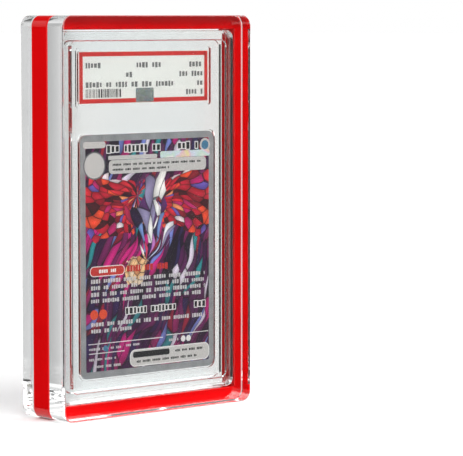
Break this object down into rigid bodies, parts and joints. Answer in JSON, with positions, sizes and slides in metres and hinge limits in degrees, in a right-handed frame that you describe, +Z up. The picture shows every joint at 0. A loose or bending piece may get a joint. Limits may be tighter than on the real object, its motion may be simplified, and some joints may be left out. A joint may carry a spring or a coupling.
{
  "type": "graded card slab in display case",
  "caption": "Sealed two-shell card slab with card and grading label, inside a clear front and back plate display case with an opaque frame that lifts off on magnets.",
  "frame": {"origin": "bottom centre of the closed case, on the surface that it stands on", "axes": "+Z up, +Y out of the back of the case, so that the card faces -Y; +X to the right of someone who looks at the card"},
  "size_m": [0.0888, 0.0254, 0.146],
  "materials": {
    "clear_acrylic": "polished clear cast acrylic",
    "red_acrylic": "polished opaque red cast acrylic",
    "slab_plastic": "clear moulded polystyrene",
    "card_print": "gloss-coated printed card stock with a silver-grey border",
    "label_print": "matte printed paper, red border",
    "seal_foil": "diffractive foil",
    "magnet_nickel": "nickel plated"
  },
  "bodies": {
    "back": {"back_plate": "clear_acrylic", "plate_magnets": "magnet_nickel"},
    "cover": {"front_plate": "clear_acrylic", "center_frame": "red_acrylic", "frame_magnets": "magnet_nickel"},
    "slab": {"slab_front_shell": "slab_plastic", "slab_back_shell": "slab_plastic", "card": "card_print", "grading_label": "label_print", "seal_sticker": "seal_foil"}
  },
  "joints": [
    {"name": "cover_lift", "type": "slide", "parent": "back", "child": "cover", "axis": [0, -1, 0], "range_m": [0, 0.06]},
    {"name": "slab_lift", "type": "slide", "parent": "back", "child": "slab", "axis": [0, -1, 0], "range_m": [0, 0.03]}
  ],
  "couplings": [
    {"joint": "slab_lift", "follows": "cover_lift", "ratio": 0.5}
  ]
}
